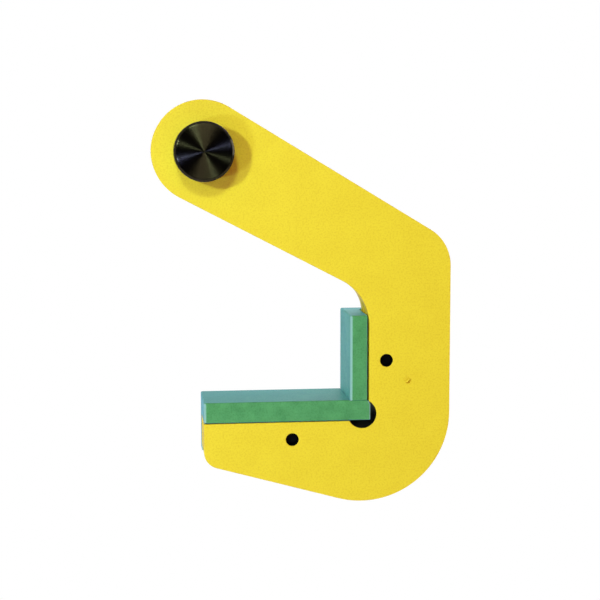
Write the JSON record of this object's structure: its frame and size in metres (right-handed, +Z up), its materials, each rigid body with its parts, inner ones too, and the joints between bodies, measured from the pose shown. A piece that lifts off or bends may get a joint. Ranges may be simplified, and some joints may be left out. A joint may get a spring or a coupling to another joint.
{
  "type": "horizontal pipe lifting clamp",
  "caption": "Hook-shaped pipe end lifting clamp with a welded steel body, green plastic liners on its jaw and upright, and a turned lifting pin through the eye.",
  "frame": {"origin": "on the lifting pin's axis, midway through the body's thickness", "axes": "+X from the eye towards the leg, +Y along the lifting pin to the body's rear face, +Z up when the clamp hangs in use"},
  "size_m": [0.195, 0.0796, 0.264],
  "materials": {
    "body_paint": "satin",
    "weld_paint": "satin",
    "liner_plastic": "matte",
    "black_turned_steel": "turned, black oxide",
    "black_screw_steel": "black oxide",
    "spring_steel": "bright",
    "plate_metal": "satin",
    "rivet_metal": "satin"
  },
  "bodies": {
    "hook": {"front_cheek": "body_paint", "core_plate": "body_paint", "rear_cheek": "body_paint", "outer_seam_weld": "weld_paint", "throat_seam_weld": "weld_paint", "jaw_liner": "liner_plastic", "upright_liner": "liner_plastic", "jaw_liner_screw": "black_screw_steel", "upright_liner_screw": "black_screw_steel", "rating_plate": "plate_metal", "rating_plate_rivets": "rivet_metal"},
    "pin": {"lifting_pin": "black_turned_steel", "pin_collar": "black_turned_steel", "collar_cross_pin": "spring_steel"}
  },
  "joints": [
    {"name": "pin_turn", "type": "hinge", "parent": "hook", "child": "pin", "pos_m": [0, 0, 0], "axis": [0, 1, 0], "continuous": true}
  ]
}
